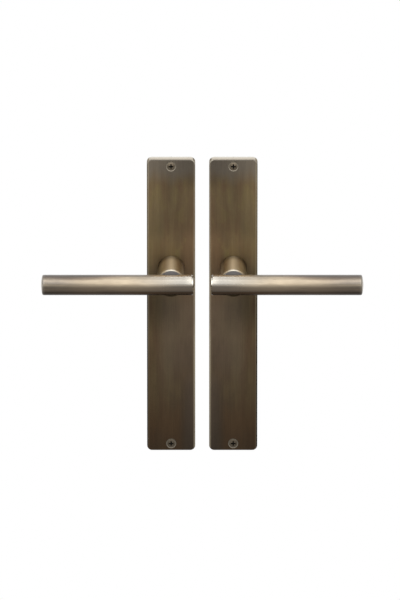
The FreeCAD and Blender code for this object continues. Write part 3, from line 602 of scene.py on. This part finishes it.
# from the plate's ends to the screws
SCREW_INSET = 0.0056
SCREW_HEIGHTS = (PLATE_TOP - SCREW_INSET, PLATE_FOOT + SCREW_INSET)
HEAD_RADIUS = 0.0040
HEAD_RISE = 0.0005
RING_WIDTH = 0.00065
RING_SINK = 0.00010
DOME_EDGE = HEAD_RADIUS - RING_WIDTH
DOME_RISE = HEAD_RISE + RING_SINK
DOME_RADIUS = (DOME_EDGE**2 + DOME_RISE**2) / (2 * DOME_RISE)
SCREW_LIGHT = (0.172, 0.140, 0.100)
SCREW_DARK = (0.120, 0.094, 0.064)
# painted highlight on the rim, brightest at its lower edge, and painted shade in the recess
RIM_LOW = (0.33, 0.29, 0.23)
RIM_HIGH = (0.21, 0.182, 0.138)
RECESS_BLACK = (0.010, 0.008, 0.007)


def screw_brass():
    s = Shader("screw_brass", Metallic=1.0, Coat_Weight=0.2, Coat_Roughness=0.3)
    place = s.place()
    u, y, z = place
    stain = s.noise(place, (700, 700, 700), detail=3)
    depth = s.math("SUBTRACT", y, PLATE_FACE)
    upper, lower = SCREW_HEIGHTS
    is_upper = s.math("GREATER_THAN", z, (upper + lower) / 2)
    across = s.math("SUBTRACT", u, LEVER_U)
    up = s.math("SUBTRACT", z, s.math("MULTIPLY_ADD", is_upper, upper - lower, lower))
    reach = s.distance(across, up)
    # painted highlight on the rim, brighter at its lower edge
    rim = s.product(s.rise(reach, DOME_EDGE - 0.0002, DOME_EDGE), s.fall(depth, 0.0002, 0.0010))
    rim_colour = s.mix(s.rise(up, -0.0040, 0.0036), RIM_LOW, RIM_HIGH)
    dome = s.math("MULTIPLY_ADD", s.product(reach, reach), 0.5 / DOME_RADIUS, -HEAD_RISE)
    # painted shade in the cross recess
    recess = s.product(
        s.rise(s.math("SUBTRACT", depth, dome), 0.0004, 0.0010), s.fall(reach, 0.0026, 0.0030),
        s.fall(depth, 0.0019, 0.0023),
    )
    colour = s.mix(s.rise(stain, 0.35, 0.7), SCREW_LIGHT, SCREW_DARK)
    colour = s.mix(rim, colour, rim_colour)
    # painted shade: the lower screw darker
    colour = s.shade(colour, s.span(is_upper, 0.0, 1.0, 0.72, 1.0))
    s.set(
        Base_Color=s.mix(recess, colour, RECESS_BLACK),
        Roughness=s.ripple(stain, 0.42, 0.50),
    )
    return s.material


# Steels and plastic

# scales of the fine lines, in features per metre along x, y and z
EVEN_LINES = (300, 300, 300)
SHEET_LINES = (3000, 200, 60)
ROD_LINES = (2200, 60, 2200)
STEEL_DEPTH = 0.00005


def steel(name, light, dark, roughness, scales=EVEN_LINES, seed=0, metallic=1.0):
    """Sheet or turned steel with faint stains, and fine lines along the axis with the low scale."""
    s = Shader(name, Metallic=metallic)
    place = s.place()
    stain = s.noise(place, (160, 160, 160), detail=4, seed=seed)
    lines = s.noise(place, scales, seed=seed + 4)
    colour = s.mix(s.rise(stain, 0.35, 0.68), light, dark)
    s.set(
        Base_Color=s.shade(colour, s.ripple(lines, 0.92, 1.07)),
        Roughness=s.ripple(stain, roughness, roughness + 0.10),
        Normal=s.bump(lines, 0.15, STEEL_DEPTH),
    )
    return s.material


def paint_frame(spring_finish):
    """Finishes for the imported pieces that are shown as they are."""
    zinc_sheet = steel("zinc_plate", (0.46, 0.47, 0.48), (0.34, 0.35, 0.36), 0.34, SHEET_LINES)
    zinc = steel("zinc_steel", (0.42, 0.42, 0.43), (0.34, 0.34, 0.35), 0.30, ROD_LINES, seed=2)
    bright = steel("washer_steel", (0.50, 0.50, 0.50), (0.38, 0.38, 0.38), 0.25, seed=5)
    black = steel("black_steel", (0.035, 0.035, 0.036), (0.02, 0.02, 0.02), 0.42, seed=1)
    acetal = steel("bearing_plastic", (0.022, 0.022, 0.023), (0.015, 0.015, 0.016), 0.45, metallic=0.0)
    paint(plate_brass(), *both("backplate"))
    paint(neck_brass(), *both("neck"))
    paint(bar_brass(), *both("lever_bar"))
    paint(zinc_sheet, *both("cover_plate"))
    paint(zinc, *both("cover_screws"), *both("stop_pin"), *both("return_cam"), "spindle")
    paint(bright, *both("thrust_washer"))
    paint(spring_finish, *both("circlip"))
    paint(black, *both("bar_screw"), *both("grub_screw"))
    paint(acetal, *both("neck_bush"))


# Calls that the modelled pieces share


def new_object(name, mesh):
    made = bpy.data.objects.new(name, mesh)
    scene.collection.objects.link(made)
    return made


def circle_angles(count):
    """Angles all the way round, in equal steps."""
    return [2 * math.pi * i / count for i in range(count)]


def join_rings(skin, here, there):
    for i in range(len(here)):
        j = (i + 1) % len(here)
        skin.faces.new((here[i], here[j], there[j], there[i]))


def close_with_fan(skin, ring, middle):
    point = skin.verts.new(middle)
    for i in range(len(ring)):
        skin.faces.new((ring[i], ring[(i + 1) % len(ring)], point))


def skin_over(rows):
    """A closed skin through rows of points, with a fan on the first row and one on the last."""
    skin = bmesh.new()
    rings = [[skin.verts.new(point) for point in row] for row in rows]
    for here, there in zip(rings, rings[1:]):
        join_rings(skin, here, there)
    for ring in (rings[0], rings[-1]):
        close_with_fan(skin, ring, sum((v.co for v in ring), Vector()) / len(ring))
    bmesh.ops.recalc_face_normals(skin, faces=skin.faces)
    return skin


def smooth_by_angle(mesh, degrees):
    for face in mesh.polygons:
        face.use_smooth = True
    mesh.set_sharp_from_angle(angle=math.radians(degrees))


# Door screws' shape: a raised countersunk head with a ring and a cut cross, thread and point

# from the dome's edge to the ring's floor
RING_STEP = 0.00008
RIM_SINK = -0.00002
RIM_ROUNDING = 0.00012
DOME_STEPS = 12
ROUNDING_STEPS = 5
# degrees round the rim's edge: where its steps count from, and each step
ROUNDING_START = 15
ROUNDING_ANGLE = 24
SHANK_RADIUS = 0.0021
SHANK_CHAMFER = 0.0001
# depths at which the plain shank ends, and the thread's root and ridge start
SHANK_END = 0.0001
ROOT_START = 0.0006
THREAD_START = 0.0007
THREAD_CREST = 0.0021
THREAD_ROOT = 0.00145
THREAD_PITCH = 0.0018
# half of the ridge's width at its foot, as a share of the pitch
THREAD_HALF_WIDTH = 0.26
THREAD_ROWS = 150
SCREW_END = 0.017
POINT_LENGTH = 0.005
POINT_RADIUS = 0.0001
SCREW_COLUMNS = 48
RECESS_DEPTH = 0.0019
# half length and half width of the cross at the head's surface and at the recess's bottom
RECESS_TOP = (0.00218, 0.00056)
RECESS_BOTTOM = (0.00105, 0.00032)
# the cutting cross starts above the head, grown by a share, and has a point below the bottom
CUTTER_MARGIN = 0.0004
CUTTER_GROWTH = 1.06
SCREW_CREASE = 28


def screw_outline():
    """Radius and depth down the head and plain shank, from the crown to the thread's start."""
    crown = PLATE_FACE - HEAD_RISE
    outline = []
    for step in range(1, DOME_STEPS + 1):
        radius = DOME_EDGE * step / DOME_STEPS
        outline.append((radius, crown + DOME_RADIUS - math.sqrt(DOME_RADIUS**2 - radius**2)))
    outline.append((DOME_EDGE + RING_STEP, PLATE_FACE + RING_SINK))
    rim = HEAD_RADIUS - RIM_ROUNDING
    rim_top = PLATE_FACE + RIM_SINK
    outline.append((rim, rim_top))
    for step in range(1, ROUNDING_STEPS + 1):
        turn = math.radians(ROUNDING_START + ROUNDING_ANGLE * step)
        depth = rim_top + RIM_ROUNDING * (1 - math.cos(turn))
        outline.append((rim + RIM_ROUNDING * math.sin(turn), depth))
    cone_end = PLATE_FACE + HEAD_RADIUS - SHANK_RADIUS
    outline.append((SHANK_RADIUS + SHANK_CHAMFER, cone_end - SHANK_CHAMFER))
    outline.append((SHANK_RADIUS, cone_end + SHANK_CHAMFER))
    outline.append((SHANK_RADIUS, SHANK_END))
    outline.append((THREAD_ROOT, ROOT_START))
    return outline


def thread_radius(angle, depth):
    """The thread's ridge, which runs out at the shank and narrows down the gimlet point."""
    turn = (depth / THREAD_PITCH - angle / (2 * math.pi)) % 1.0
    ridge = max(0.0, 1.0 - abs(turn - 0.5) / THREAD_HALF_WIDTH)
    run_out = min(1.0, (depth - THREAD_START) / THREAD_PITCH)
    taper = min(1.0, (SCREW_END - depth) / POINT_LENGTH)
    core = THREAD_ROOT * taper + POINT_RADIUS * (1.0 - taper)
    return core + (THREAD_CREST - THREAD_ROOT) * ridge * run_out * math.sqrt(max(taper, 0.0))


def screw_rows():
    angles = circle_angles(SCREW_COLUMNS)
    rows = [[(r * math.cos(a), y, r * math.sin(a)) for a in angles] for r, y in screw_outline()]
    for step in range(THREAD_ROWS + 1):
        y = THREAD_START + (SCREW_END - THREAD_START) * step / THREAD_ROWS
        around = [(thread_radius(a, y), a) for a in angles]
        rows.append([(r * math.cos(a), y, r * math.sin(a)) for r, a in around])
    return rows


def cross_outline(reach, half):
    """The corners of a cross whose arms reach out from the middle and are twice half wide."""
    return [
        (half, -reach), (half, -half), (reach, -half), (reach, half), (half, half), (half, reach),
        (-half, reach), (-half, half), (-reach, half), (-reach, -half), (-half, -half), (-half, -reach),
    ]


def cross_cutter():
    """The tapered cross with a shallow point that is cut from the head."""
    skin = bmesh.new()
    crown = PLATE_FACE - HEAD_RISE
    bottom = crown + RECESS_DEPTH
    grown = [size * CUTTER_GROWTH for size in RECESS_TOP]
    levels = ((crown - CUTTER_MARGIN, grown), (bottom, RECESS_BOTTOM))
    above, below = [
        [skin.verts.new((x, y, z)) for x, z in cross_outline(*sizes)] for y, sizes in levels
    ]
    join_rings(skin, above, below)
    skin.faces.new(list(reversed(above)))
    close_with_fan(skin, below, (0.0, bottom + CUTTER_MARGIN, 0.0))
    bmesh.ops.recalc_face_normals(skin, faces=skin.faces)
    return skin


def object_from(skin, name):
    """The skin as a mesh and an object of that name. The skin is used up."""
    mesh = bpy.data.meshes.new(name)
    skin.to_mesh(mesh)
    skin.free()
    return new_object(name, mesh)


def cut_screw():
    """One raised countersunk wood screw on the left lever's axis, as a mesh."""
    body = object_from(skin_over(screw_rows()), "screw")
    cutter = object_from(cross_cutter(), "cross")
    cut = body.modifiers.new("recess", "BOOLEAN")
    cut.operation = "DIFFERENCE"
    cut.solver = "EXACT"
    cut.object = cutter
    graph = bpy.context.evaluated_depsgraph_get()
    mesh = bpy.data.meshes.new_from_object(body.evaluated_get(graph))
    for used in (body, cutter):
        bpy.data.objects.remove(used)
    return mesh


def make_door_screws(finish):
    """Two screws in each plate, as one piece a plate."""
    single = cut_screw()
    for side, x in LEVER_X.items():
        joined = bmesh.new()
        for height in SCREW_HEIGHTS:
            start = len(joined.verts)
            joined.from_mesh(single)
            joined.verts.ensure_lookup_table()
            bmesh.ops.translate(joined, verts=joined.verts[start:], vec=(x, 0.0, height))
        screws = object_from(joined, f"{side}_wood_screws")
        smooth_by_angle(screws.data, SCREW_CREASE)
        screws.data.materials.append(finish)
        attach(screws, "backplates")
        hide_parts(f"{side}_door_screws")


# Return springs: one wire each, with a leg outward to the plate and a leg inward to the cam

WIRE_RADIUS = 0.00065
WIRE_SIDES = 16
WIRE_BEND = 0.0016
BEND_STEPS = 8
COIL_RADIUS = 0.0147
COIL_PITCH = 0.00172
COIL_TURNS = 1.25
COIL_FRONT = -0.004275
COIL_STEPS = 80
LEG_OUTSIDE = 0.0186
LEG_INSIDE = 0.0120
SPRING_CREASE = 60


def coil_point(turn):
    """The middle of the wire, the way out from the axis and the way along, at a turn of the coil."""
    angle = math.radians(90 + 360 * turn)
    outward = Vector((math.cos(angle), 0.0, math.sin(angle)))
    around = Vector((-math.sin(angle), 0.0, math.cos(angle)))
    point = outward * COIL_RADIUS + Vector((0.0, COIL_FRONT + COIL_PITCH * turn, 0.0))
    along = around * 2 * math.pi * COIL_RADIUS + Vector((0.0, COIL_PITCH, 0.0))
    return point, outward, along.normalized()


def bend(corner, before, after):
    """A quarter of a circle from corner - before to corner + after."""
    centre = corner - before + after
    for step in range(1, BEND_STEPS):
        angle = math.radians(90 * step / BEND_STEPS)
        yield centre - after * math.cos(angle) + before * math.sin(angle)


def spring_line():
    """The middle of the wire: fixed leg, coil and moving leg."""
    first, up, first_along = coil_point(0)
    last, down, last_along = coil_point(COIL_TURNS)
    corner = first - first_along * WIRE_BEND
    line = [corner + up * (LEG_OUTSIDE - COIL_RADIUS), corner + up * WIRE_BEND]
    line += bend(corner, -up * WIRE_BEND, first_along * WIRE_BEND)
    line += [coil_point(COIL_TURNS * step / COIL_STEPS)[0] for step in range(COIL_STEPS + 1)]
    corner = last + last_along * WIRE_BEND
    line += bend(corner, last_along * WIRE_BEND, -down * WIRE_BEND)
    line += [corner - down * WIRE_BEND, corner - down * (COIL_RADIUS - LEG_INSIDE)]
    return line


def wire_rows(line):
    """Rings of points round a line, turned as little as possible from one to the next."""
    rows, side = [], Vector((0.0, 1.0, 0.0))
    for i, place in enumerate(line):
        before, after = line[max(i - 1, 0)], line[min(i + 1, len(line) - 1)]
        along = (after - before).normalized()
        side = (side - along * side.dot(along)).normalized()
        across = along.cross(side)
        ways = [side * math.cos(a) + across * math.sin(a) for a in circle_angles(WIRE_SIDES)]
        rows.append([place + way * WIRE_RADIUS for way in ways])
    return rows


def make_return_springs(finish):
    """The left lever's spring, and its mirror image on the right."""
    for side in LEVER_X:
        skin = skin_over(wire_rows(spring_line()))
        if side == "right":
            for vertex in skin.verts:
                vertex.co.x = 2 * PAIR_MIDDLE - vertex.co.x
            bmesh.ops.reverse_faces(skin, faces=skin.faces)
        spring = object_from(skin, f"{side}_torsion_spring")
        smooth_by_angle(spring.data, SPRING_CREASE)
        spring.data.materials.append(finish)
        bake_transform(spring)
        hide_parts(f"{side}_return_spring")


# Floor, world and lamps

# The floor lies below the photograph's view, which is plain white round the object, and shows
# in views from higher up.
FLOOR_RADIUS = 4.6
FLOOR_SIDES = 96
FLOOR_PLACE = (PAIR_MIDDLE, -3.8, -0.6)
FLOOR_GREY = (0.62, 0.62, 0.62)
FILL_STRENGTH = 0.85


def make_floor():
    disc = bmesh.new()
    bmesh.ops.create_circle(disc, cap_ends=True, segments=FLOOR_SIDES, radius=FLOOR_RADIUS)
    floor = object_from(disc, "floor")
    floor.location = FLOOR_PLACE
    s = Shader("floor", Roughness=0.9, Specular_IOR_Level=0.1, Base_Color=FLOOR_GREY)
    floor.data.materials.append(s.material)


def white_background(tree, strength):
    white = tree.nodes.new("ShaderNodeBackground")
    white.inputs["Color"].default_value = (1.0, 1.0, 1.0, 1.0)
    white.inputs["Strength"].default_value = strength
    return white.outputs[0]


def make_world():
    """White behind the object and in its reflections, and a plain soft fill elsewhere."""
    world = bpy.data.worlds.new("world")
    world.use_nodes = True
    tree = world.node_tree
    tree.nodes.clear()
    rays = tree.nodes.new("ShaderNodeLightPath")
    seen = rays.outputs["Is Camera Ray"]
    for name in ("Is Glossy Ray", "Is Transmission Ray"):
        either = tree.nodes.new("ShaderNodeMath")
        either.operation = "MAXIMUM"
        tree.links.new(seen, either.inputs[0])
        tree.links.new(rays.outputs[name], either.inputs[1])
        seen = either.outputs[0]
    mixed = tree.nodes.new("ShaderNodeMixShader")
    tree.links.new(seen, mixed.inputs[0])
    tree.links.new(white_background(tree, FILL_STRENGTH), mixed.inputs[1])
    tree.links.new(white_background(tree, 1.0), mixed.inputs[2])
    output = tree.nodes.new("ShaderNodeOutputWorld")
    tree.links.new(mixed.outputs[0], output.inputs["Surface"])
    scene.world = world


def make_lamp(name, place, aim, width, height, radiance):
    """A soft box at place that faces aim and looks radiance times as bright as plain white."""
    data = bpy.data.lights.new(name, "AREA")
    data.shape = "RECTANGLE"
    data.size = width
    data.size_y = height
    data.energy = radiance * math.pi * width * height
    lamp = bpy.data.objects.new(name, data)
    scene.collection.objects.link(lamp)
    lamp.location = place
    direction = Vector(aim) - Vector(place)
    lamp.rotation_euler = direction.to_track_quat("-Z", "Y").to_euler()
    lamp.visible_camera = False


def make_lamps():
    """One box above and in front, and a strip right above whose light runs along the bars."""
    make_lamp(
        "softbox", place=(PAIR_MIDDLE, -0.36, 0.40), aim=(PAIR_MIDDLE, -0.05, 0.0),
        width=1.10, height=0.42, radiance=1.75,
    )
    make_lamp(
        "strip", place=(PAIR_MIDDLE, 0.02, 0.50), aim=(PAIR_MIDDLE, -0.02, 0.0),
        width=0.13, height=0.60, radiance=1.8,
    )


make_camera()
spring_steel = steel("spring_steel", (0.10, 0.10, 0.105), (0.06, 0.058, 0.055), 0.30, seed=8)
paint_frame(spring_steel)
make_door_screws(screw_brass())
make_return_springs(spring_steel)
make_floor()
make_world()
make_lamps()

scene.view_settings.view_transform = "Standard"
